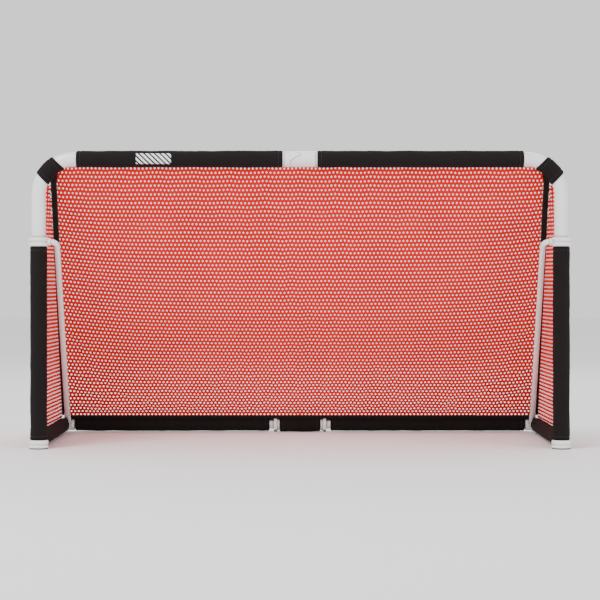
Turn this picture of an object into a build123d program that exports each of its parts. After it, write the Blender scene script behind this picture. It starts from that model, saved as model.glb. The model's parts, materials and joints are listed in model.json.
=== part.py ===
"""Folding goal with a net: two half frames that fold together like a book.

Frame: +X to the goal's right as a player faces the mouth, +Y to the back, +Z up.
The origin is on the ground, under the middle of the whole goal. Millimetres.
"""
from build123d import *
import os
from math import cos, hypot, radians, sin

# Driving dimensions
POST_X = 588.0  # post axis from the middle
DEPTH = 500.0  # post axis to rear bar axis
FRONT_Y = -249.0  # plane of the front frame
REAR_Y = FRONT_Y + DEPTH
CROSSBAR_Z = 652.0
REAR_Z = 20.0  # axis of the rear bar and the base tubes
BEND = 80.0  # bend radius of the front tube, at its axis
BEND_X = POST_X - BEND
BEND_Z = CROSSBAR_Z - BEND

TUBE = 16.0  # radii
TUBE_BORE = 14.5
BASE = 12.5
BASE_BORE = 11.0
STRUT = 6.35
STRUT_BORE = 5.2
SLEEVE = 19.5
BASE_SLEEVE = 17.5
COVER = 20.0
COLLAR = 22.0
COLLAR_GROOVE = 20.0
FIT = 0.1  # radial room between nested pieces

COLLAR_HEIGHT = 20.0
COLLAR_Z = 456.0  # underside of the post collar
FOOT_FLOOR = 3.0  # plastic under the post
RIB = 3.0  # half the height of a collar's rib
BOSS_REACH = 45.0  # the foot's plug, from the post's axis
ARM = 8.5  # the post collar's arm for the strut
ARM_START = 17.0  # from the post's axis
ARM_END = 27.0
HINGE_END = 34.5  # crossbar hinge casting, from the middle
SLEEVE_START = 39.0
SLEEVE_END = 503.0
WRAP_ANGLE = 56.0  # the corner wrap, before its ends are cut square
WRAP_WIDTH = 51.0
LABEL_X = (-368.0, -289.0)
LABEL_HEIGHT = 25.0

STRUT_ELBOW = (547.0, FRONT_Y, COLLAR_Z + COLLAR_HEIGHT / 2)
STRUT_FOOT = (578.0, 224.0, 38.0)
STRUT_BEND = 14.0
CORNER_BALL = 19.0
CORNER_SOCKET = 15.5
CORNER_REACH = 40.0  # how far the fitting runs along the base tube
BAR_REACH = 25.0  # and along the rear bar
TUBE_STOP = 16.0  # both tubes end this far from the corner's middle
STRUT_SOCKET = 8.0
STRUT_SOCKET_DEPTH = 12.0

# The net plane runs from the crossbar axis to the rear bar axis
DROP = CROSSBAR_Z - REAR_Z
SLOPE = hypot(DEPTH, DROP)
DOWN = Vector(0, DEPTH / SLOPE, -DROP / SLOPE)  # down the net
OUT = Vector(0, DROP / SLOPE, DEPTH / SLOPE)  # away from the net, up and back
NET_TOP = 21.0  # measured down the net from the crossbar axis
NET_BOTTOM = SLOPE - 22.0
NET_THICK = 3.0
STRAP_TOP = 34.0
STRAP_BOTTOM = SLOPE - 30.0
STRAP_WIDTH = 14.0
STRAP_X_TOP = 558.0
STRAP_X_BOTTOM = 586.0
SIDE_NET_X = 600.0

# The fold's axis is parallel to the net, behind both bars
HINGE_CASTING = 17.6
PIN_OFFSET = 17.6
PIN = 2.0
KNUCKLE = 5.0
KNUCKLE_ROOM = 5.4
KNUCKLE_LENGTH = 7.0
KNUCKLE_GAP = 0.3
HALF_GAP = 0.6  # each half stops this far from the middle
REAR_HINGE = 15.0
REAR_HINGE_END = 50.0
CROSSBAR_KNUCKLES = -4.0  # where the knuckles start, measured down the net
REAR_KNUCKLES = -18.0
CROSSBAR_PLUG = (20.0, 62.0)  # the plugs inside the tubes, from the middle
REAR_PLUG = (30.0, 90.0)
COVER_START = 6.0
COVER_END = 51.0
FLANGE_STEPS = (51.5, 57.5, 65.0)  # its narrow ring, then its wide one
FLANGE_RADII = (16.0, 19.4)
REAR_SLEEVE_START = 76.0
LIP_LENGTH = 22.0
LIP_DROP = 8.0  # the lip starts this far below the casting's middle
GROOVE = 1.2  # the line that carries the seam on, across the right casting

SIDES = {"right": 1, "left": -1}
CROSSBAR_MIDDLE = Vector(0, FRONT_Y, CROSSBAR_Z)
REAR_MIDDLE = Vector(0, REAR_Y, REAR_Z)


def rod(start, end, radius):
    """A round bar from start to end."""
    run = Vector(*end) - Vector(*start)
    return extrude(Plane(origin=start, z_dir=run) * Circle(radius), amount=run.length)


def pipe(start, end, outer, inner):
    """A straight tube from start to end."""
    run = Vector(*end) - Vector(*start)
    ring = Circle(outer) - Circle(inner)
    return extrude(Plane(origin=start, z_dir=run) * ring, amount=run.length)


def swept(path, outer, inner):
    """A tube along a path."""
    start = Plane(origin=path @ 0, z_dir=path % 0)
    return sweep(start * Circle(outer), path=path) - sweep(start * Circle(inner), path=path)


def on_net(x, down, out=0.0):
    """A point given across, down and off the net plane."""
    return CROSSBAR_MIDDLE + Vector(x, 0, 0) + DOWN * down + OUT * out


def net_panel(corners, thick):
    """A flat panel lying in the net plane; corners are (across, down)."""
    face = make_face(Polyline([on_net(x, down, -thick / 2) for x, down in corners], close=True))
    return extrude(face, amount=thick, dir=OUT)


def front_tube(side):
    path = FilletPolyline(
        (side * HINGE_END, FRONT_Y, CROSSBAR_Z),
        (side * POST_X, FRONT_Y, CROSSBAR_Z),
        (side * POST_X, FRONT_Y, FOOT_FLOOR + FIT),
        radius=BEND,
    )
    return swept(path, TUBE, TUBE_BORE)


def crossbar_sleeve(side):
    start = (side * SLEEVE_START, FRONT_Y, CROSSBAR_Z)
    return pipe(start, (side * SLEEVE_END, FRONT_Y, CROSSBAR_Z), SLEEVE, TUBE + FIT)


def boss_rod(side, radius):
    """The round plug that joins a foot to its base tube."""
    start = (side * POST_X, FRONT_Y, REAR_Z)
    return rod(start, (side * POST_X, FRONT_Y + BOSS_REACH, REAR_Z), radius)


def post_sleeve(side):
    start = (side * POST_X, FRONT_Y, COLLAR_HEIGHT + FIT)
    sleeve = pipe(start, (side * POST_X, FRONT_Y, COLLAR_Z - FIT), SLEEVE, TUBE + FIT)
    return sleeve - boss_rod(side, BASE_BORE + FIT)


def corner_wrap(side):
    first, last = radians(45 - WRAP_ANGLE / 2), radians(45 + WRAP_ANGLE / 2)
    points = [
        (side * (BEND_X + BEND * cos(angle)), FRONT_Y, BEND_Z + BEND * sin(angle))
        for angle in (first, radians(45), last)
    ]
    band = Pos(side * BEND_X, 0, BEND_Z) * Rot(0, side * 45, 0) * Box(WRAP_WIDTH, 900, 400)
    return swept(ThreePointArc(*points), SLEEVE, TUBE + FIT) & band


def ribbed_ring(side, bottom, bore):
    """A collar with two round ribs and a groove between them."""
    top = bottom + COLLAR_HEIGHT
    middle = bottom + COLLAR_HEIGHT / 2
    outline = Polyline(
        (bore, bottom),
        (COLLAR_GROOVE, bottom),
        (COLLAR, bottom + RIB),
        (COLLAR, middle - RIB),
        (COLLAR_GROOVE, middle),
        (COLLAR, middle + RIB),
        (COLLAR, top - RIB),
        (COLLAR_GROOVE, top),
        (bore, top),
        close=True,
    )
    ring = revolve(Plane.XZ * make_face(outline), axis=Axis.Z)
    return Pos(side * POST_X, FRONT_Y, 0) * ring


def post_collar(side):
    height = STRUT_ELBOW[2]
    start = (side * (POST_X - ARM_START), FRONT_Y, height)
    arm = rod(start, (side * (POST_X - ARM_END), FRONT_Y, height), ARM)
    socket = rod(start, (side * (POST_X - ARM_END - 3), FRONT_Y, height), STRUT + FIT)
    return ribbed_ring(side, COLLAR_Z, TUBE + FIT) + arm - socket


def foot_collar(side):
    post_room = rod(
        (side * POST_X, FRONT_Y, FOOT_FLOOR), (side * POST_X, FRONT_Y, REAR_Z + COLLAR), TUBE + FIT
    )
    floor = rod((side * POST_X, FRONT_Y, 0), (side * POST_X, FRONT_Y, FOOT_FLOOR), COLLAR_GROOVE - 1)
    boss = boss_rod(side, BASE_BORE - FIT) - post_room
    return ribbed_ring(side, 0, TUBE + FIT) + floor + boss


def base_tube(side):
    start = (side * POST_X, FRONT_Y + COLLAR, REAR_Z)
    return pipe(start, (side * POST_X, REAR_Y - TUBE_STOP, REAR_Z), BASE, BASE_BORE)


def base_sleeve(side):
    start = (side * POST_X, FRONT_Y + COLLAR + 1, REAR_Z)
    return pipe(start, (side * POST_X, REAR_Y - CORNER_REACH - 1, REAR_Z), BASE_SLEEVE, BASE + FIT)


def strut_points(side):
    collar_end = (POST_X - ARM_START - 1, FRONT_Y, STRUT_ELBOW[2])
    return [(side * x, y, z) for x, y, z in (collar_end, STRUT_ELBOW, STRUT_FOOT)]


def strut(side):
    return swept(FilletPolyline(*strut_points(side), radius=STRUT_BEND), STRUT, STRUT_BORE)


def rear_corner(side):
    """The fitting that holds the base tube, the rear bar and the strut's foot."""
    middle = Vector(POST_X, REAR_Y, REAR_Z)
    elbow, foot = (Vector(*point) for point in strut_points(1)[1:])
    along = (foot - elbow).normalized()
    base_way, bar_way = Vector(0, -1, 0), Vector(-1, 0, 0)
    fitting = Pos(*middle) * Sphere(CORNER_BALL)
    fitting += rod(middle, middle + base_way * CORNER_REACH, CORNER_SOCKET)
    fitting += rod(middle, middle + bar_way * BAR_REACH, CORNER_SOCKET)
    fitting += rod(foot - along * STRUT_SOCKET_DEPTH, foot + along * 16, STRUT_SOCKET)
    fitting -= rod(middle + base_way * TUBE_STOP, middle + base_way * (CORNER_REACH + 5), BASE + FIT)
    fitting -= rod(middle + bar_way * TUBE_STOP, middle + bar_way * 40, BASE + FIT)
    fitting -= rod(foot - along * 30, foot + along * FIT, STRUT + FIT)
    return fitting if side > 0 else mirror(fitting, about=Plane.YZ)


def rear_tube(side):
    start = (side * COVER_END, REAR_Y, REAR_Z)
    return pipe(start, (side * (POST_X - TUBE_STOP), REAR_Y, REAR_Z), BASE, BASE_BORE)


def rear_sleeve(side):
    start = (side * REAR_SLEEVE_START, REAR_Y, REAR_Z)
    return pipe(start, (side * (POST_X - BAR_REACH - 2), REAR_Y, REAR_Z), BASE_SLEEVE, BASE + FIT)


def rear_flange(side):
    """The stepped ring at the end of the centre cover."""
    near, step, far = ((side * across, REAR_Y, REAR_Z) for across in FLANGE_STEPS)
    narrow, wide = FLANGE_RADII
    return pipe(step, far, wide, BASE + FIT) + pipe(near, step, narrow, BASE + FIT)


def strap_edges(down):
    """How far across the strap's inner and outer edges are, at a place down the net."""
    share = (down - STRAP_TOP) / (STRAP_BOTTOM - STRAP_TOP)
    middle = STRAP_X_TOP + (STRAP_X_BOTTOM - STRAP_X_TOP) * share
    return middle - STRAP_WIDTH / 2, middle + STRAP_WIDTH / 2


def strap(side):
    top, bottom = strap_edges(STRAP_TOP), strap_edges(STRAP_BOTTOM)
    corners = [(top[0], STRAP_TOP), (top[1], STRAP_TOP), (bottom[1], STRAP_BOTTOM), (bottom[0], STRAP_BOTTOM)]
    return net_panel([(side * x, down) for x, down in corners], NET_THICK)


def back_net(side):
    inner = strap_edges(STRAP_TOP)[0] - 0.5, strap_edges(STRAP_BOTTOM)[0] - 0.5
    corners = [
        (1, NET_TOP),
        (BEND_X, NET_TOP),
        (inner[0], STRAP_TOP + 20),
        (inner[1], STRAP_BOTTOM),
        (inner[1] - 20, NET_BOTTOM),
        (1, NET_BOTTOM),
    ]
    return net_panel([(side * x, down) for x, down in corners], NET_THICK)


def side_net(side):
    front, bottom = FRONT_Y + 22, REAR_Z + BASE_SLEEVE + 3
    corners = [(front, bottom), (REAR_Y - 46, bottom), (front, COLLAR_Z + 134)]
    x = side * SIDE_NET_X - 1
    face = make_face(Polyline([(x, y, z) for y, z in corners], close=True))
    return extrude(face, amount=2, dir=(1, 0, 0))


def pin_line(middle, first, last, radius):
    """A round bar on the fold's axis, between two places measured down the net."""
    axis = middle + OUT * PIN_OFFSET
    return rod(axis + DOWN * first, axis + DOWN * last, radius)


def knuckle_web(side, middle, start):
    """The wall that carries one knuckle, on its own half's side of the middle."""
    plane = Plane(origin=middle + DOWN * start, x_dir=(1, 0, 0), z_dir=DOWN)
    width = KNUCKLE - HALF_GAP
    toward = -1 if OUT.dot(plane.y_dir) < 0 else 1
    wall = Pos(side * (HALF_GAP + width / 2), toward * PIN_OFFSET / 2) * Rectangle(width, PIN_OFFSET)
    return extrude(plane * wall, amount=KNUCKLE_LENGTH)


def hinge_half(side, middle, radius, end, first, lip):
    """One half of a hinge: a casting with its share of the knuckles on the fold's axis."""
    body = rod(middle + Vector(side * HALF_GAP, 0, 0), middle + Vector(side * end, 0, 0), radius)
    if lip:
        body = body - lip if side < 0 else body + lip
    step = KNUCKLE_LENGTH + KNUCKLE_GAP
    for number, owner in enumerate((1, -1, 1)):
        start = first + number * step
        if owner != side:
            body -= pin_line(middle, start - KNUCKLE_GAP, start + step, KNUCKLE_ROOM)
    for number, owner in enumerate((1, -1, 1)):
        start = first + number * step
        if owner == side:
            body += pin_line(middle, start, start + KNUCKLE_LENGTH, KNUCKLE)
            body += knuckle_web(side, middle, start)
    return body - pin_line(middle, first - 5, first + 3 * step + 5, PIN + 0.06)


def seam_lip(room):
    """The right casting's lip under the left one; room widens it for the left half's cut."""
    top, bottom = LIP_DROP - room, HINGE_CASTING + room
    reach = LIP_LENGTH * (bottom - top) / (HINGE_CASTING - LIP_DROP)
    axis_down = [(2, top), (0, top), (-reach, bottom), (2, bottom)]
    points = [CROSSBAR_MIDDLE + Vector(x, 0, 0) - OUT * low - DOWN * 40 for x, low in axis_down]
    wedge = extrude(make_face(Polyline(points, close=True)), amount=80, dir=DOWN)
    skin = HINGE_CASTING + room
    return wedge & rod(CROSSBAR_MIDDLE - Vector(40, 0, 0), CROSSBAR_MIDDLE + Vector(3, 0, 0), skin)


def seam_groove():
    """A shallow groove that continues the seam over the right casting."""
    slant = (HINGE_CASTING - LIP_DROP) / LIP_LENGTH
    line = [(0, -LIP_DROP), (LIP_LENGTH, -LIP_DROP - LIP_LENGTH * slant)]
    outline = line + [(across, low + GROOVE) for across, low in reversed(line)]
    points = [CROSSBAR_MIDDLE + Vector(across, 0, 0) - OUT * low - DOWN * 40 for across, low in outline]
    slab = extrude(make_face(Polyline(points, close=True)), amount=40, dir=DOWN)
    end = CROSSBAR_MIDDLE + Vector(40, 0, 0)
    return slab - rod(CROSSBAR_MIDDLE - Vector(1, 0, 0), end, HINGE_CASTING - GROOVE)


def crossbar_hinge(side):
    lip = seam_lip(0) if side > 0 else seam_lip(2 * HALF_GAP)
    half = hinge_half(side, CROSSBAR_MIDDLE, HINGE_CASTING, HINGE_END - FIT, CROSSBAR_KNUCKLES, lip)
    if side > 0:
        half -= seam_groove()
    plug = [CROSSBAR_MIDDLE + Vector(side * across, 0, 0) for across in CROSSBAR_PLUG]
    return half + rod(*plug, TUBE_BORE - FIT)


def rear_hinge(side):
    half = hinge_half(side, REAR_MIDDLE, REAR_HINGE, REAR_HINGE_END, REAR_KNUCKLES, None)
    plug = [REAR_MIDDLE + Vector(side * across, 0, 0) for across in REAR_PLUG]
    return half + rod(*plug, BASE_BORE - FIT)


def hinge_pin(middle, first):
    """The pin through three knuckles that start at first, a little longer than they are."""
    return pin_line(middle, first - 0.5, first + 3 * (KNUCKLE_LENGTH + KNUCKLE_GAP) + 0.3, PIN)


def centre_cover(side):
    """The soft cover round the rear hinge, open along the fold's axis."""
    start, end = (side * COVER_START, REAR_Y, REAR_Z), (side * COVER_END, REAR_Y, REAR_Z)
    shell = pipe(start, end, COVER, REAR_HINGE + FIT)
    corner = REAR_MIDDLE + OUT * (PIN_OFFSET - 0.3)
    beyond = extrude(Plane(origin=corner, z_dir=OUT) * Rectangle(200, 200), amount=20)
    return shell - beyond - pin_line(REAR_MIDDLE, -30, 30, KNUCKLE_ROOM + 1)


def sleeve_label():
    """The patch sewn on the front of the left crossbar sleeve."""
    first, last = ((x, FRONT_Y, CROSSBAR_Z) for x in LABEL_X)
    patch = pipe(first, last, SLEEVE + 1, SLEEVE + FIT)
    window = Pos(sum(LABEL_X) / 2, FRONT_Y - SLEEVE, CROSSBAR_Z) * Box(120, 30, LABEL_HEIGHT)
    return patch & window


BOTH_SIDES = {
    "front_tube": front_tube,
    "crossbar_sleeve": crossbar_sleeve,
    "post_sleeve": post_sleeve,
    "corner_wrap": corner_wrap,
    "post_collar": post_collar,
    "foot_collar": foot_collar,
    "base_tube": base_tube,
    "base_sleeve": base_sleeve,
    "strut": strut,
    "rear_corner": rear_corner,
    "rear_tube": rear_tube,
    "rear_sleeve": rear_sleeve,
    "rear_flange": rear_flange,
    "strap": strap,
    "back_net": back_net,
    "side_net": side_net,
    "crossbar_hinge": crossbar_hinge,
    "rear_hinge": rear_hinge,
    "centre_cover": centre_cover,
}


def main():
    os.makedirs("parts", exist_ok=True)
    pieces = {}
    for side_name, side in SIDES.items():
        for name, make in BOTH_SIDES.items():
            pieces[f"{side_name}_{name}"] = make(side)
    pieces["sleeve_label"] = sleeve_label()
    pieces["crossbar_hinge_pin"] = hinge_pin(CROSSBAR_MIDDLE, CROSSBAR_KNUCKLES)
    pieces["rear_hinge_pin"] = hinge_pin(REAR_MIDDLE, REAR_KNUCKLES)
    for name, piece in pieces.items():
        export_step(piece, f"parts/{name}.step")


main()
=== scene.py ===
"""Materials, fabric and net for the folding goal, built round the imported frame. Metres."""
import json
from collections import namedtuple
from math import asin, cos, pi, sin, sqrt

import bpy
import numpy as np
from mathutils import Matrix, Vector, noise


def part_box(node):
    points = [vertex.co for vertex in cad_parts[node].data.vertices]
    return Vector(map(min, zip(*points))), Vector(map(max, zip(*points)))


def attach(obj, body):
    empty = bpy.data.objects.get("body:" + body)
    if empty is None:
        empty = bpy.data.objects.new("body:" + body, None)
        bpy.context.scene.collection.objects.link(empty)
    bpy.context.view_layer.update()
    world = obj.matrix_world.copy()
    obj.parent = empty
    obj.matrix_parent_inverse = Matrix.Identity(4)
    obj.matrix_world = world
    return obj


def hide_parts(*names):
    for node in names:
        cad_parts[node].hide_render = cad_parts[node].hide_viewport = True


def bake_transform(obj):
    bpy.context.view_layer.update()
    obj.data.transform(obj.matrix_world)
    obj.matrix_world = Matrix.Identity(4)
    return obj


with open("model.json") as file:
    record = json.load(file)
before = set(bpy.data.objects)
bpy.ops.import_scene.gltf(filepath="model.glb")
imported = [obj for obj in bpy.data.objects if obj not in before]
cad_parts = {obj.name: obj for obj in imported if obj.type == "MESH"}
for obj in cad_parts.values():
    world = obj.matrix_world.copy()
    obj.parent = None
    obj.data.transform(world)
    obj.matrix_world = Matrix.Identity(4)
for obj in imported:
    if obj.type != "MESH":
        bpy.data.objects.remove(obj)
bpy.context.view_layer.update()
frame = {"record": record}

SIDES = {"right": 1.0, "left": -1.0}
X, Y, Z = np.eye(3)

# Places worked out from the frame
BAR_LOW, BAR_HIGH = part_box("right_crossbar_sleeve")
POST_LOW, POST_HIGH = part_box("right_post_sleeve")
REAR_LOW, REAR_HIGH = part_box("right_rear_sleeve")
CROSSBAR_Z = (BAR_LOW[2] + BAR_HIGH[2]) / 2
FRONT_Y = (BAR_LOW[1] + BAR_HIGH[1]) / 2
REAR_Y = (REAR_LOW[1] + REAR_HIGH[1]) / 2
REAR_Z = (REAR_LOW[2] + REAR_HIGH[2]) / 2
POST_X = (POST_LOW[0] + POST_HIGH[0]) / 2
SLEEVE_R = (BAR_HIGH[2] - BAR_LOW[2]) / 2
DEPTH, DROP = REAR_Y - FRONT_Y, CROSSBAR_Z - REAR_Z
SLOPE = sqrt(DEPTH**2 + DROP**2)
DOWN = np.array([0.0, DEPTH / SLOPE, -DROP / SLOPE])
OUT = np.array([0.0, DROP / SLOPE, DEPTH / SLOPE])

# Measures that the frame's boxes don't give. Those of the net and straps run down the net.
TUBE_R = 0.016
BASE_R = 0.0125
BEND = 0.080  # the front tube's bend, at its axis
NET_TOP = 0.017
NET_BOTTOM = SLOPE - 0.015
STRAP_TOP, STRAP_BOTTOM = 0.034, SLOPE - 0.030
STRAP_X = (0.558, 0.586)
STRAP_WIDTH = 0.014
SIDE_NET_X = 0.600

# The net cloth's holes. The back net's are taller, so that they look round from the front.
PITCH = 0.0091
ROW = 0.0112
HOLE = (0.0022, 0.0028)
SIDE_ROW = 0.0091
SIDE_HOLE = (0.0022, 0.0022)


# ---------------------------------------------------------------- materials

WHITE = (0.90, 0.90, 0.89)
BLACK = (0.0062, 0.0040, 0.0035)
RED = (0.86, 0.0, 0.0)
STEEL = (0.55, 0.55, 0.55)
STITCH_COLOR = (0.05, 0.045, 0.04)
# Painted shade in the creases and gaps of the hard parts: how far to look for nearby surfaces, and the
# darkest tone.
CREASE_SHADE_REACH = 0.008
PAINTED_CREASE_SHADE = (0.07, 0.068, 0.066)
LABEL_BAR = 0.0119
LABEL_DARK = 0.25  # the dark bars are where the wave is above this
LABEL_THREAD = 0.0007
SLEEVE_THREAD = 0.0016
STITCH_THREAD = 0.0006
WEB_RIB, WEB_THREAD = 0.0016, 0.0008
KNIT_ACROSS, KNIT_DOWN = 0.0011, 0.0014


def new_material(name, color, roughness, coat=0.0, specular=0.5):
    """A Principled material with its constant values on the shader's own sockets."""
    material = bpy.data.materials.new(name)
    material.use_nodes = True
    shader = material.node_tree.nodes["Principled BSDF"]
    shader.inputs["Base Color"].default_value = (*color, 1)
    shader.inputs["Roughness"].default_value = roughness
    shader.inputs["Coat Weight"].default_value = coat
    shader.inputs["Specular IOR Level"].default_value = specular
    return material, shader


def add_node(material, kind, values=None, **links):
    """Adds a node, sets plain values by socket name and links other sockets by name."""
    node = material.node_tree.nodes.new(kind)
    for socket, value in (values or {}).items():
        node.inputs[socket].default_value = value
    for socket, source in links.items():
        material.node_tree.links.new(source, node.inputs[socket.replace("_", " ")])
    return node


def math_node(material, operation, first, second):
    node = material.node_tree.nodes.new("ShaderNodeMath")
    node.operation = operation
    for socket, value in zip(node.inputs, (first, second)):
        if isinstance(value, (int, float)):
            socket.default_value = value
        else:
            material.node_tree.links.new(value, socket)
    return node.outputs[0]


def wave(material, value):
    return math_node(material, "SINE", value, 0.0)


def color_between(material, factor, dark, light, low=0.0, high=1.0):
    ramp = material.node_tree.nodes.new("ShaderNodeValToRGB")
    ramp.color_ramp.elements[0].position = low
    ramp.color_ramp.elements[1].position = high
    ramp.color_ramp.elements[0].color = (*dark, 1)
    ramp.color_ramp.elements[1].color = (*light, 1)
    material.node_tree.links.new(factor, ramp.inputs[0])
    return ramp.outputs[0]


def value_between(material, factor, low, high):
    spread = material.node_tree.nodes.new("ShaderNodeMapRange")
    spread.inputs["To Min"].default_value = low
    spread.inputs["To Max"].default_value = high
    material.node_tree.links.new(factor, spread.inputs["Value"])
    return spread.outputs[0]


def set_bump(material, shader, height, distance, strength=1.0):
    bump = add_node(material, "ShaderNodeBump", {"Strength": strength, "Distance": distance}, Height=height)
    material.node_tree.links.new(bump.outputs[0], shader.inputs["Normal"])


def object_noise(material, scale, detail=3.0):
    place = add_node(material, "ShaderNodeTexCoord").outputs["Object"]
    values = {"Scale": scale, "Detail": detail}
    return add_node(material, "ShaderNodeTexNoise", values, Vector=place).outputs["Fac"]


def painted(name, color, roughness, grain_scale, grain_depth, coat):
    """Paint, plastic or bare metal: fine grain, faint grime, painted shade in the creases and uneven gloss.
    """
    material, shader = new_material(name, color, roughness, coat=coat)
    links = material.node_tree.links
    grime = object_noise(material, 14.0, 5.0)
    worn = tuple(channel * 0.93 for channel in color)
    tone = color_between(material, grime, worn, color, 0.30, 0.52)
    # Painted shade: the colour is darkened where nearby surfaces close in, in creases and the gaps between
    # parts.
    crease_occlusion = add_node(material, "ShaderNodeAmbientOcclusion", {"Distance": CREASE_SHADE_REACH})
    shade = color_between(material, crease_occlusion.outputs["AO"], PAINTED_CREASE_SHADE, (1, 1, 1), 0.35, 0.92)
    blend = material.node_tree.nodes.new("ShaderNodeMix")
    blend.data_type = "RGBA"
    blend.blend_type = "MULTIPLY"
    blend.inputs["Factor"].default_value = 1.0
    links.new(tone, blend.inputs[6])
    links.new(shade, blend.inputs[7])
    links.new(blend.outputs[2], shader.inputs["Base Color"])
    gloss = object_noise(material, 60.0, 2.0)
    uneven = value_between(material, gloss, roughness - 0.06, roughness + 0.08)
    links.new(uneven, shader.inputs["Roughness"])
    set_bump(material, shader, object_noise(material, grain_scale, 2.0), grain_depth, 0.35)
    return material


def cloth_place(material, across, along):
    """The cloth's own two directions, each scaled."""
    place = add_node(material, "ShaderNodeUVMap")
    place.uv_map = "cloth"
    split = add_node(material, "ShaderNodeSeparateXYZ", None, Vector=place.outputs[0])
    first = math_node(material, "MULTIPLY", split.outputs[0], across)
    second = math_node(material, "MULTIPLY", split.outputs[1], along)
    return first, second


def woven(name, color, thread, depth, roughness=0.85):
    """A plain weave: two sets of threads that pass over each other in turn."""
    material, shader = new_material(name, color, roughness, specular=0.22)
    links = material.node_tree.links
    turns = 2 * pi / thread
    first, second = cloth_place(material, turns, turns)
    crossing = math_node(material, "MULTIPLY", wave(material, first), wave(material, second))
    fuzz = object_noise(material, 900.0, 2.0)
    height = math_node(material, "ADD", crossing, fuzz)
    shade = object_noise(material, 22.0, 4.0)
    # The colour is lighter on the raised thread crossings and darker in the dips between them, a painted
    # highlight and painted shade, and it also varies at random in tone.
    mixed = math_node(material, "ADD", math_node(material, "MULTIPLY", crossing, 0.22), shade)
    light = tuple(channel * 1.5 + 0.003 for channel in color)
    links.new(color_between(material, mixed, color, light, 0.35, 1.0), shader.inputs["Base Color"])
    links.new(value_between(material, shade, roughness - 0.1, roughness + 0.1), shader.inputs["Roughness"])
    set_bump(material, shader, height, depth, 0.6)
    return material


def webbing(name, color):
    """Ribbed webbing: strong cross ribs with fine threads along them."""
    material, shader = new_material(name, color, 0.75, specular=0.25)
    ribs, threads = cloth_place(material, 2 * pi / WEB_RIB, 2 * pi / WEB_THREAD)
    height = math_node(material, "ADD", wave(material, ribs), wave(material, threads))
    light = tuple(channel * 1.8 + 0.004 for channel in color)
    # The colour follows the height of the ribs and threads: painted shade in the grooves and a painted
    # highlight on the tops.
    shade = math_node(material, "MULTIPLY", math_node(material, "ADD", height, 2.0), 0.25)
    material.node_tree.links.new(color_between(material, shade, color, light), shader.inputs["Base Color"])
    set_bump(material, shader, height, 0.0003, 0.7)
    return material


def knitted(name, color):
    """Knitted mesh: small looped threads with painted shade in the dips between the loops, also a little
    uneven in colour at random.
    """
    material, shader = new_material(name, color, 0.8, specular=0.2)
    first, second = cloth_place(material, 2 * pi / KNIT_ACROSS, 2 * pi / KNIT_DOWN)
    sway = math_node(material, "MULTIPLY", wave(material, second), 1.2)
    loops = wave(material, math_node(material, "ADD", first, sway))
    shade = object_noise(material, 9.0, 4.0)
    # The colour is darker in the dips between the loops, painted shade, and varies at random in tone.
    mixed = math_node(material, "ADD", math_node(material, "MULTIPLY", loops, 0.18), shade)
    dark = tuple(channel * 0.82 for channel in color)
    tone = color_between(material, mixed, dark, color, 0.2, 0.5)
    material.node_tree.links.new(tone, shader.inputs["Base Color"])
    set_bump(material, shader, loops, 0.0003, 0.6)
    return material


def hatched(name, light, dark):
    """The label: plain slanting bars."""
    material, shader = new_material(name, light, 0.6, specular=0.3)
    along, up = cloth_place(material, 1.0, 1.0)
    slant = math_node(material, "ADD", along, up)
    bars = wave(material, math_node(material, "MULTIPLY", slant, 2 * pi / LABEL_BAR))
    mask = math_node(material, "GREATER_THAN", bars, LABEL_DARK)
    material.node_tree.links.new(color_between(material, mask, light, dark), shader.inputs["Base Color"])
    weave = wave(material, math_node(material, "MULTIPLY", up, 2 * pi / LABEL_THREAD))
    set_bump(material, shader, weave, 0.0001, 0.5)
    return material


MATERIALS = {
    "white_steel": painted("white_steel", WHITE, 0.32, 1400.0, 0.00012, 0.25),
    "white_casting": painted("white_casting", WHITE, 0.38, 700.0, 0.00025, 0.15),
    "white_plastic": painted("white_plastic", WHITE, 0.50, 2200.0, 0.00010, 0.0),
    "black_sleeve": woven("black_sleeve", BLACK, SLEEVE_THREAD, 0.00035),
    "black_webbing": webbing("black_webbing", BLACK),
    "red_net": knitted("red_net", RED),
    "label_cloth": hatched("label_cloth", WHITE, BLACK),
    "thread": woven("thread", STITCH_COLOR, STITCH_THREAD, 0.0001),
    "pin_steel": painted("pin_steel", STEEL, 0.35, 900.0, 0.0001, 0.0),
}
MATERIALS["pin_steel"].node_tree.nodes["Principled BSDF"].inputs["Metallic"].default_value = 1.0


# ---------------------------------------------------------------- meshes


def new_piece(name, points, faces, material, uv=None):
    """A smooth mesh object; uv holds one (across, along) pair for each point, in metres."""
    mesh = bpy.data.meshes.new(name)
    mesh.from_pydata([tuple(map(float, point)) for point in points], [], faces)
    mesh.update()
    if uv is not None:
        layer = mesh.uv_layers.new(name="cloth")
        corner_points = np.empty(len(mesh.loops), dtype=np.int32)
        mesh.loops.foreach_get("vertex_index", corner_points)
        layer.data.foreach_set("uv", np.asarray(uv, float)[corner_points].ravel())
    mesh.shade_smooth()
    mesh.materials.append(MATERIALS[material])
    piece = bpy.data.objects.new(name, mesh)
    bpy.context.scene.collection.objects.link(piece)
    return piece


def grid_faces(rows, columns, wrap):
    """Quads between rows of points; wrap joins the last column to the first."""
    faces = []
    for row in range(rows - 1):
        for column in range(columns if wrap else columns - 1):
            after = (column + 1) % columns
            first, second = row * columns, (row + 1) * columns
            faces.append((first + column, first + after, second + after, second + column))
    return faces


def capped_faces(rows, columns):
    """A closed bar: rings of points joined by quads, with a face on each end."""
    faces = grid_faces(rows, columns, True)
    faces.append(tuple(reversed(range(columns))))
    faces.append(tuple((rows - 1) * columns + step for step in range(columns)))
    return faces


def smooth_step(value):
    value = min(max(value, 0.0), 1.0)
    return value * value * (3 - 2 * value)


# A straight or bent sleeve. at(place, angle, reach) turns a place along it, an angle round it and
# a distance from its axis into a point.
Sleeve = namedtuple("Sleeve", "at length radius bore seam_angle seed")

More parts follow.
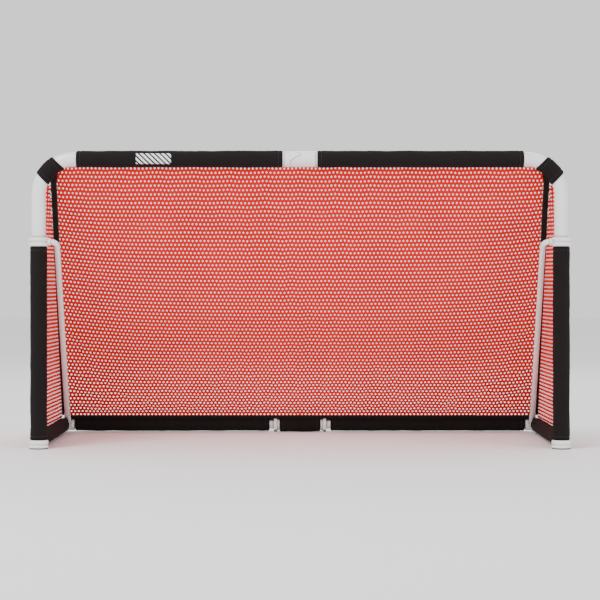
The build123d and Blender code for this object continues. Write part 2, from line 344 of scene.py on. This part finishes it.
HEM = 0.009  # the hem's stitches, from the sleeve's end
HEM_DITCH, HEM_WIDTH = 0.0009, 0.0014
PUCKER, PUCKERS, PUCKER_REACH = 0.00035, 11, 0.012
EDGE = 0.004  # the end's roll
SEAM_HALF = 0.42  # half of the overlapped seam, in radians
SEAM_STEP, SEAM_RISE = 0.05, 0.0008
DITCH_PLACE, DITCH_WIDTH, DITCH_DEPTH = 0.09, 0.03, 0.0007
DENT_SCALE = 26.0
DENT, SMALL_DENT = 0.0009, 0.0004
SKIN_ROOM = 0.0006  # keeps the dents inside the plain solid
SLEEVE_SEGMENTS = 72
STATION_STEP = 0.004


def sleeve_radius(sleeve, place, angle):
    """The padded sleeve's radius: rolled ends, a stitched hem, an overlapped seam and soft dents."""
    end = min(place, sleeve.length - place)
    rolled = sqrt(max(0.0, 1 - (1 - min(end / EDGE, 1.0)) ** 2))
    hem = -HEM_DITCH * np.exp(-(((end - HEM) / HEM_WIDTH) ** 2))
    puckers = PUCKER * sin(PUCKERS * angle + sleeve.seed) * np.exp(-(((end - HEM) / PUCKER_REACH) ** 2))
    away = abs((angle - sleeve.seam_angle + pi) % (2 * pi) - pi)
    seam = SEAM_RISE * (1 - smooth_step((away - SEAM_HALF) / SEAM_STEP))
    ditch = -DITCH_DEPTH * np.exp(-(((away - SEAM_HALF + DITCH_PLACE) / DITCH_WIDTH) ** 2))
    spot = Vector((place * DENT_SCALE, cos(angle) * 1.3, sin(angle) * 1.3 + sleeve.seed))
    dents = DENT * noise.noise(spot) + SMALL_DENT * noise.noise(spot * 3.1)
    full = sleeve.radius - SKIN_ROOM + hem + puckers + seam + ditch + dents
    return sleeve.bore + (full - sleeve.bore) * rolled


def sleeve_stations(length):
    """Close together at the rolled ends and hems, wider apart between."""
    near = [EDGE * share**2 for share in np.linspace(0, 1, 6)]
    near += list(np.linspace(EDGE, 2 * HEM, 9)[1:])
    middle_count = max(2, int((length - 4 * HEM) / STATION_STEP))
    middle = list(np.linspace(2 * HEM, length - 2 * HEM, middle_count)[1:-1])
    return near + middle + [length - place for place in reversed(near)]


def sleeve_skin(name, sleeve):
    """The padded cloth of a sleeve."""
    stations = sleeve_stations(sleeve.length)
    points, uv = [], []
    for place in stations:
        for step in range(SLEEVE_SEGMENTS):
            angle = 2 * pi * step / SLEEVE_SEGMENTS
            points.append(sleeve.at(place, angle, sleeve_radius(sleeve, place, angle)))
            uv.append((place, sleeve.radius * (angle if angle <= pi else 2 * pi - angle)))
    return new_piece(name, points, grid_faces(len(stations), SLEEVE_SEGMENTS, True), "black_sleeve", uv)


STITCH_LENGTH = 0.0034
STITCH_RADIUS = 0.00042
STITCH_SIDES = 6
STITCH_LIFT = 0.0002
STITCH_STEP = STITCH_LENGTH * 1.7
# One stitch: shares of its length, of its radius and of its lift off the cloth; the first half is mirrored
STITCH_HALF = [(-0.5, 0.0, -0.6), (-0.42, 0.8, -0.2), (-0.2, 1.0, 0.5)]
STITCH_PROFILE = STITCH_HALF + [(-share, size, lift) for share, size, lift in reversed(STITCH_HALF)]


def stitches(name, spots):
    """Short threads; each spot is a middle point, a direction along the thread and one off the cloth."""
    points, faces, uv = [], [], []
    stitch_faces = capped_faces(len(STITCH_PROFILE), STITCH_SIDES)
    for middle, along, off in spots:
        side = np.cross(along, off)
        base = len(points)
        for share, size, lift in STITCH_PROFILE:
            centre = middle + along * share * STITCH_LENGTH + off * lift * STITCH_RADIUS
            for step in range(STITCH_SIDES):
                angle = 2 * pi * step / STITCH_SIDES
                ring = STITCH_RADIUS * max(size, 0.05) * (cos(angle) * side + sin(angle) * off)
                points.append(centre + ring)
                uv.append((share * STITCH_LENGTH, angle * STITCH_RADIUS))
        faces += [tuple(base + corner for corner in face) for face in stitch_faces]
    return new_piece(name, points, faces, "thread", uv)


def stitch_spot(at, place, angle, reach, lengthwise):
    """Where one stitch lies on a sleeve, which way it runs and which way is off the cloth."""
    middle = at(place, angle, reach + STITCH_LIFT)
    ahead = at(place + 0.001, angle, reach) - at(place, angle, reach)
    off = middle - at(place, angle, reach - 0.001)
    off /= np.linalg.norm(off)
    along = ahead / np.linalg.norm(ahead)
    return middle, along if lengthwise else np.cross(along, off), off


def hem_stitches(name, sleeve):
    """A ring of stitches at each hem and a row along the seam's edge."""
    around = int(2 * pi * sleeve.radius / STITCH_STEP)
    hems = (HEM, sleeve.length - HEM)
    places = [(place, 2 * pi * step / around, False) for place in hems for step in range(around)]
    seam_length = sleeve.length - 2 * HEM
    rows = int(seam_length / STITCH_STEP)
    row_angle = sleeve.seam_angle + SEAM_HALF - DITCH_PLACE
    places += [(HEM + (step + 0.5) * seam_length / rows, row_angle, True) for step in range(rows)]
    spots = []
    for place, angle, lengthwise in places:
        reach = sleeve_radius(sleeve, place, angle)
        spots.append(stitch_spot(sleeve.at, place, angle, reach, lengthwise))
    return stitches(name, spots)


def dress(name, nodes, body, sleeve):
    """Makes one sleeve with its stitching and puts it in place of its plain solids."""
    skin = sleeve_skin(name, sleeve)
    thread = hem_stitches(f"{name}_stitching", sleeve)
    for piece in (skin, thread):
        if body:
            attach(piece, body)
    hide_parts(*nodes)
    return skin, thread


def straight_axis(start, axis, first, second):
    """Points round a straight axis; first and second are the two ways across it."""

    def at(place, angle, reach):
        return start + axis * place + reach * (cos(angle) * first + sin(angle) * second)

    return at


# Each straight sleeve's axis, bore and seam angle
STRAIGHT_SLEEVES = {
    "crossbar_sleeve": (0, TUBE_R, 0.25 * pi),
    "post_sleeve": (2, TUBE_R, 0.25 * pi),
    "base_sleeve": (1, BASE_R, 1.5 * pi),
    "rear_sleeve": (0, BASE_R, 1.5 * pi),
}


def straight_sleeves():
    for side_name, side in SIDES.items():
        across = {0: (Y, Z), 1: (X, Z), 2: (X * side, Y)}
        for number, (kind, (axis, bore, seam_angle)) in enumerate(STRAIGHT_SLEEVES.items()):
            node = f"{side_name}_{kind}"
            low, high = (np.array(corner, float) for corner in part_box(node))
            start = (low + high) / 2
            start[axis] = low[axis]
            at = straight_axis(start, np.eye(3)[axis], *across[axis])
            radius = (high[(axis + 1) % 3] - low[(axis + 1) % 3]) / 2
            length = high[axis] - low[axis]
            sleeve = Sleeve(at, length, radius, bore, seam_angle, number * 3.7 + side)
            dress(f"{node}_cloth", [node], f"{side_name}_half", sleeve)


WRAP_WIDTH = 0.051


def corner_wraps():
    """The wraps round the bends, with both ends cut square to the slanting corner."""
    for side_name, side in SIDES.items():
        centre = np.array([side * (POST_X - BEND), FRONT_Y, CROSSBAR_Z - BEND])
        slant = np.array([side, 0, 1]) / sqrt(2)
        across = np.array([-side, 0, 1]) / sqrt(2)

        def at(place, angle, reach, centre=centre, slant=slant, across=across):
            turn = BEND + reach * cos(angle)
            shift = place - WRAP_WIDTH / 2
            return centre + sqrt(turn**2 - shift**2) * slant + shift * across + reach * sin(angle) * Y

        node = f"{side_name}_corner_wrap"
        wrap = Sleeve(at, WRAP_WIDTH, SLEEVE_R, TUBE_R, 0.75 * pi, 8.1 + side)
        dress(f"{node}_cloth", [node], f"{side_name}_half", wrap)


COVER_HALF = 0.051
COVER_R = 0.0192
COVER_BORE = 0.0145


def centre_cover():
    """The soft cover over the rear hinge."""
    middle = np.array([0, REAR_Y, REAR_Z])
    at = straight_axis(middle - X * COVER_HALF, X, Y, Z)
    cover = Sleeve(at, 2 * COVER_HALF, COVER_R, COVER_BORE, 1.5 * pi, 5.3)
    for piece in dress("centre_cover_cloth", ["left_centre_cover", "right_centre_cover"], None, cover):
        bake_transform(piece)


def strap_place(down):
    """How far across the strap's middle is, at a place down the net."""
    share = (down - STRAP_TOP) / (STRAP_BOTTOM - STRAP_TOP)
    return STRAP_X[0] + (STRAP_X[1] - STRAP_X[0]) * share


def on_net(across, down, out=0.0):
    """A point given across the goal, down the net and off its plane."""
    return np.array([across, FRONT_Y, CROSSBAR_Z]) + DOWN * down + OUT * out


# The strap's outline, as shares of its width and thickness
STRAP_SECTION = [(-0.5, 0.0), (-0.48, 0.35), (-0.42, 0.5), (-0.2, 0.52)]
STRAP_SECTION += [(0.0, 0.48), (0.2, 0.52), (0.42, 0.5), (0.48, 0.35)]
STRAP_SECTION += [(-across, -off) for across, off in STRAP_SECTION]
STRAP_THICK = 0.003
STRAP_STATIONS = 150
TAB_LENGTH, TAB_WIDTH, TAB_SHIFT = 0.035, 0.016, 0.003  # the wider tab at the strap's top
STRAP_START = 0.006  # the webbing starts this far above its plain solid
STITCH_ROWS = (-0.36, 0.36)  # shares of the strap's width


def straps():
    """The webbing down each side of the net, with a wider tab under the corner wrap."""
    for side_name, side in SIDES.items():
        points, uv, spots = [], [], []
        for down in np.linspace(STRAP_TOP - STRAP_START, STRAP_BOTTOM, STRAP_STATIONS):
            tab = 1 - smooth_step((down - STRAP_TOP) / TAB_LENGTH)
            width = STRAP_WIDTH + TAB_WIDTH * tab
            wander = 0.0006 * noise.noise(Vector((down * 9, side, 0)))
            middle = strap_place(down) + TAB_SHIFT * tab + wander
            lift = 0.0005 * noise.noise(Vector((down * 14, side * 3, 2)))
            for across, off in STRAP_SECTION:
                points.append(on_net(side * (middle + across * width), down, off * STRAP_THICK + lift))
                uv.append((down, across * width + (0.02 if off < 0 else 0)))
            for edge in STITCH_ROWS:
                spots.append((down, side * (middle + edge * width), lift))
        faces = capped_faces(STRAP_STATIONS, len(STRAP_SECTION))
        node = f"{side_name}_strap"
        strip = new_piece(f"{node}_webbing", points, faces, "black_webbing", uv)
        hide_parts(node)
        high = STRAP_THICK * 0.5 + STITCH_LIFT
        seams = []
        for down, x, lift in spots:
            seams += [(on_net(x, down, lift + face * high), DOWN, OUT * face) for face in (1, -1)]
        thread = stitches(f"{node}_stitching", seams)
        for piece in (strip, thread):
            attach(piece, f"{side_name}_half")


# ---------------------------------------------------------------- net


def cell_outline(half_pitch, row):
    """The corners of one cell of the cloth; cells fit together like bricks."""
    tall, short = row * 2 / 3, row / 3
    right = [(half_pitch, -short), (half_pitch, short), (0, tall)]
    return right + [(-across, -down) for across, down in right]


HOLE_SIDES = 12


def perforated(name, cells, pitch, row, hole, place):
    """Cloth with holes. cells are (across, down) middles; place turns such points into 3-D."""
    outline = np.array(cell_outline(pitch / 2, row))
    angles = np.linspace(0, 2 * pi, HOLE_SIDES, endpoint=False)
    ring = np.array([(hole[0] * cos(angle), hole[1] * sin(angle)) for angle in angles])
    flat, index, faces = [], {}, []
    for across, down in cells:
        corners = []
        for point in outline + (across, down):
            key = (round(point[0] / pitch * 4), round(point[1] / row * 6))
            if key not in index:
                index[key] = len(flat)
                flat.append(point)
            corners.append(index[key])
        base = len(flat)
        flat.extend(ring + (across, down))
        for side in range(6):
            outer, following = corners[side], corners[(side + 1) % 6]
            first = (2 * side - 1) % HOLE_SIDES
            inner = [base + (first + step) % HOLE_SIDES for step in range(3)]
            faces.append((outer, following, inner[2], inner[1]))
            faces.append((outer, inner[1], inner[0]))
    flat = np.array(flat)
    return new_piece(name, place(flat), faces, "red_net", flat)


SIM_COLUMNS, SIM_ROWS = 57, 39
SIM_FRAMES = 45
NET_SLACK = 0.004
TIE_COLUMNS = 4  # the top edge is tied at every fourth column
HELD_ROWS = 2  # the lowest rows, which the hem tape keeps flat


def net_rest(across, down):
    """A point of the flat net; across runs from -1 to 1 between the straps."""
    return on_net(across * strap_place(down), down)


def hung_net():
    """Hangs a coarse copy of the back net from its edges and returns how each point moved."""
    across = np.linspace(-1, 1, SIM_COLUMNS)
    down = np.linspace(NET_TOP, NET_BOTTOM, SIM_ROWS)
    rest = np.array([[net_rest(a, d) for a in across] for d in down])
    mesh = bpy.data.meshes.new("net_trial")
    points = [tuple(point) for point in rest.reshape(-1, 3)]
    mesh.from_pydata(points, [], grid_faces(SIM_ROWS, SIM_COLUMNS, False))
    trial = bpy.data.objects.new("net_trial", mesh)
    bpy.context.scene.collection.objects.link(trial)
    held = trial.vertex_groups.new(name="held")
    for row in range(SIM_ROWS):
        for column in range(SIM_COLUMNS):
            side_edge = column in (0, SIM_COLUMNS - 1)
            tied = row == 0 and column % TIE_COLUMNS == 0
            if side_edge or tied or row >= SIM_ROWS - HELD_ROWS:
                held.add([row * SIM_COLUMNS + column], 1.0, "REPLACE")
    cloth = trial.modifiers.new("cloth", "CLOTH")
    cloth.settings.vertex_group_mass = "held"
    cloth.settings.quality = 6
    cloth.settings.mass = 0.05
    cloth.settings.tension_stiffness = 30
    cloth.settings.compression_stiffness = 30
    cloth.settings.shear_stiffness = 12
    cloth.settings.bending_stiffness = 0.2
    cloth.settings.shrink_min = -NET_SLACK
    cloth.settings.air_damping = 4
    for number in range(1, SIM_FRAMES + 1):
        bpy.context.scene.frame_set(number)
    settled = trial.evaluated_get(bpy.context.evaluated_depsgraph_get())
    hung = np.array([vertex.co[:] for vertex in settled.data.vertices]).reshape(rest.shape)
    bpy.data.objects.remove(trial)
    bpy.context.scene.frame_set(1)
    return across, down, hung - rest


def between(table, rows, columns, row_values, column_values):
    """Reads a table of 3-D moves at any place, smoothly between its points."""
    r = np.interp(row_values, rows, np.arange(len(rows)))
    c = np.interp(column_values, columns, np.arange(len(columns)))
    r0, c0 = np.minimum(r.astype(int), len(rows) - 2), np.minimum(c.astype(int), len(columns) - 2)
    fr, fc = (r - r0)[:, None], (c - c0)[:, None]
    fr, fc = fr * fr * (3 - 2 * fr), fc * fc * (3 - 2 * fc)
    top = table[r0, c0] * (1 - fc) + table[r0, c0 + 1] * fc
    bottom = table[r0 + 1, c0] * (1 - fc) + table[r0 + 1, c0 + 1] * fc
    return top * (1 - fr) + bottom * fr


def blend_net(piece):
    """Bakes the piece's placement into its points."""
    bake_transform(piece)


def back_net():
    """The net from the crossbar to the rear bar, for both halves."""
    columns, rows, moves = hung_net()
    half_width = (STRAP_X[0] + STRAP_X[1]) / 2
    row_count = int((NET_BOTTOM - NET_TOP) / ROW)
    half_count = int(half_width / PITCH)
    cells = []
    for row in range(row_count):
        offset = PITCH / 2 * (row % 2)
        down = NET_TOP + (row + 0.6) * ROW
        steps = range(-half_count, half_count + 1 - row % 2)
        cells += [(step * PITCH + offset, down) for step in steps]

    def place(flat):
        across = np.clip(flat[:, 0] / half_width, -1, 1)
        down = np.clip(flat[:, 1], NET_TOP, NET_BOTTOM)
        edge = np.array([strap_place(value) for value in down])
        rest = np.array([on_net(a * e, d) for a, e, d in zip(across, edge, down)])
        return rest + between(moves, rows, columns, down, across)

    piece = perforated("back_net_cloth", cells, PITCH, ROW, HOLE, place)
    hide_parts("left_back_net", "right_back_net")
    blend_net(piece)


HEM_TOP, HEM_BOTTOM = NET_BOTTOM - 0.013, NET_BOTTOM + 0.0015
HEM_THICK = 0.0036
HEM_COLUMNS = 241
HEM_ROW = 0.25  # the stitches, as a share of the tape's width
# The tape's outline, as shares of its width and thickness
HEM_SECTION = [(0.0, -0.5), (0.03, 0.5), (0.25, 0.62), (0.5, 0.55)]
HEM_SECTION += [(0.75, 0.62), (0.97, 0.5), (1.0, -0.5), (0.5, -0.62)]


def net_hem():
    """The tape that binds the net's lower edge, just in front of the rear bar."""
    half = STRAP_X[1] - 0.006
    width = HEM_BOTTOM - HEM_TOP
    points, uv, spots = [], [], []
    for across in np.linspace(-half, half, HEM_COLUMNS):
        wander = 0.0006 * noise.noise(Vector((across * 11, 4, 0)))
        for share, off in HEM_SECTION:
            points.append(on_net(across, HEM_TOP + width * share + wander, off * HEM_THICK))
            uv.append((across, share * width))
    faces = capped_faces(HEM_COLUMNS, len(HEM_SECTION))
    tape = new_piece("net_hem_tape", points, faces, "black_webbing", uv)
    row, high = HEM_TOP + HEM_ROW * width, HEM_THICK * 0.62 + STITCH_LIFT
    for across in np.arange(-half, half, STITCH_STEP):
        spots += [(on_net(across, row, face * high), X, OUT * face) for face in (1, -1)]
    thread = stitches("net_hem_stitching", spots)
    for piece in (tape, thread):
        blend_net(piece)


SIDE_FOOT = 0.030
SIDE_TOP = 0.605
SIDE_FRONT = 0.009
SIDE_BELLY, SIDE_RIPPLE = 0.004, 0.0016


def side_front_x(height):
    """The front edge of a side net follows the outside of the post and its bend."""
    rise = max(0.0, height - (CROSSBAR_Z - BEND)) / BEND
    return SIDE_NET_X - BEND * (1 - sqrt(max(0.0, 1 - rise * rise)))


def strap_at(height):
    """Where the strap's middle runs at a height: how far back, and how far across its outer part is."""
    down = (CROSSBAR_Z - height) * SLOPE / DROP
    return FRONT_Y + down * DEPTH / SLOPE, strap_place(down) + STRAP_WIDTH * 0.42


def side_net_cells(front):
    """The cells of a side net, as (y, height) middles."""
    cells = []
    for row in range(int((SIDE_TOP - SIDE_FOOT) / SIDE_ROW)):
        height = SIDE_FOOT + (row + 0.6) * SIDE_ROW
        back = strap_at(height)[0]
        first = front + PITCH / 2 * (1 + row % 2)
        cells += [(first + step * PITCH, height) for step in range(int((back - first) / PITCH + 0.9))]
    return cells


def side_nets():
    """The two triangles between the post, the base tube and the strap."""
    front = FRONT_Y + SIDE_FRONT
    for side_name, side in SIDES.items():

        def place(flat, side=side):
            points = []
            for y, height in flat:
                height = max(height, SIDE_FOOT)
                back, strap_x = strap_at(height)
                y = min(max(y, front), back)
                share = (y - front) / max(back - front, 0.001)
                x = side_front_x(height) * (1 - share) + strap_x * share
                rise = min(1.0, (height - SIDE_FOOT) / (SIDE_TOP - SIDE_FOOT))
                belly = SIDE_BELLY * sin(pi * share) * sin(pi * rise)
                ripple = SIDE_RIPPLE * noise.noise(Vector((y * 12, height * 7, side)))
                points.append((side * (x - belly + ripple * sin(pi * share)), y, height))
            return points

        cells = side_net_cells(front)
        piece = perforated(f"{side_name}_side_net_cloth", cells, PITCH, SIDE_ROW, SIDE_HOLE, place)
        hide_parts(f"{side_name}_side_net")
        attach(piece, f"{side_name}_half")


# ---------------------------------------------------------------- label


LABEL_ROWS, LABEL_COLUMNS = 17, 49
LABEL_LIFT = 0.0009
LABEL_THICK = 0.0006
LABEL_EDGE, LABEL_EDGE_DROP = 0.0012, 0.0007


def label():
    """The patch on the left crossbar sleeve, with its edge pressed down."""
    low, high = (np.array(corner, float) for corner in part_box("sleeve_label"))
    middle_x, half_length = (low[0] + high[0]) / 2, (high[0] - low[0]) / 2
    radius = SLEEVE_R + LABEL_LIFT
    reach = asin((high[2] - low[2]) / 2 / radius)
    points, uv = [], []
    for row in range(LABEL_ROWS):
        angle = reach * (2 * row / (LABEL_ROWS - 1) - 1)
        for column in range(LABEL_COLUMNS):
            across = half_length * (2 * column / (LABEL_COLUMNS - 1) - 1)
            edge = min(half_length - abs(across), (reach - abs(angle)) * radius)
            size = radius - LABEL_EDGE_DROP * (1 - smooth_step(edge / LABEL_EDGE))
            size += 0.00015 * noise.noise(Vector((across * 60, angle * 4, 1)))
            y, z = FRONT_Y - size * cos(angle), CROSSBAR_Z + size * sin(angle)
            points.append((middle_x + across, y, z))
            uv.append((across, angle * radius))
    faces = grid_faces(LABEL_ROWS, LABEL_COLUMNS, False)
    patch = new_piece("sleeve_label_patch", points, faces, "label_cloth", uv)
    thick = patch.modifiers.new("thickness", "SOLIDIFY")
    thick.thickness = LABEL_THICK
    thick.offset = -1
    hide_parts("sleeve_label")
    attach(patch, "left_half")
    size = (2 * half_length, 2 * reach * radius)


# ---------------------------------------------------------------- finish on the hard parts


def hard_parts():
    """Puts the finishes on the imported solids."""
    for entry in frame["record"]["subparts"]:
        part = bpy.data.objects.get(entry["node"])
        if part is None or not part.material_slots:
            continue
        for slot in part.material_slots:
            slot.material = MATERIALS[entry["material_slot"]]


# ---------------------------------------------------------------- stage, light and camera

VIEW_WIDTH = 1.35  # what the picture takes in at the goal's mouth
CAMERA_DISTANCE = 4.5
CAMERA_HEIGHT = 0.389
VIEW_MIDDLE_HEIGHT = 0.335
SENSOR = 36.0
FLOOR_HALF = 14.0
FLOOR_POINTS = 9
WORLD_LIGHT = 1.15
LIGHT_TARGET = (0, 0, 0.3)


def stage():
    """A wide sheet of white paper."""
    floor, shader = new_material("floor_paper", (0.93, 0.93, 0.93), 0.9)
    mottle = object_noise(floor, 3.0, 3.0)
    shade = color_between(floor, mottle, (0.91, 0.91, 0.91), (0.94, 0.94, 0.94))
    floor.node_tree.links.new(shade, shader.inputs["Base Color"])
    MATERIALS["floor_paper"] = floor
    steps = np.linspace(-FLOOR_HALF, FLOOR_HALF, FLOOR_POINTS)
    points = [(x, y, 0.0) for y in steps for x in steps]
    ground = new_piece("floor", points, grid_faces(FLOOR_POINTS, FLOOR_POINTS, False), "floor_paper")


def area_light(name, place, size, power):
    light = bpy.data.lights.new(name, "AREA")
    light.shape = "RECTANGLE"
    light.size, light.size_y = size
    light.energy = power
    lamp = bpy.data.objects.new(name, light)
    lamp.location = place
    lamp.rotation_euler = (Vector(LIGHT_TARGET) - Vector(place)).to_track_quat("-Z", "Y").to_euler()
    bpy.context.scene.collection.objects.link(lamp)


def lights():
    world = bpy.data.worlds.new("studio")
    world.use_nodes = True
    world.node_tree.nodes["Background"].inputs[0].default_value = (1, 1, 1, 1)
    world.node_tree.nodes["Background"].inputs[1].default_value = WORLD_LIGHT
    bpy.context.scene.world = world
    area_light("key", (-2.0, -2.6, 3.4), (1.6, 1.2), 120)
    area_light("fill", (2.8, -2.4, 1.8), (2.0, 2.0), 26)
    area_light("rim", (0.5, 3.0, 2.6), (2.5, 1.0), 36)


def camera():
    lens = bpy.data.cameras.new("view")
    lens.sensor_width = SENSOR
    lens.lens = SENSOR * CAMERA_DISTANCE / VIEW_WIDTH
    lens.shift_y = (VIEW_MIDDLE_HEIGHT - CAMERA_HEIGHT) / VIEW_WIDTH
    eye = bpy.data.objects.new("view", lens)
    eye.location = (0, FRONT_Y - CAMERA_DISTANCE, CAMERA_HEIGHT)
    eye.rotation_euler = (pi / 2, 0, 0)
    bpy.context.scene.collection.objects.link(eye)
    bpy.context.scene.camera = eye


camera()
hard_parts()
straight_sleeves()
corner_wraps()
centre_cover()
straps()
back_net()
net_hem()
side_nets()
label()
stage()
lights()
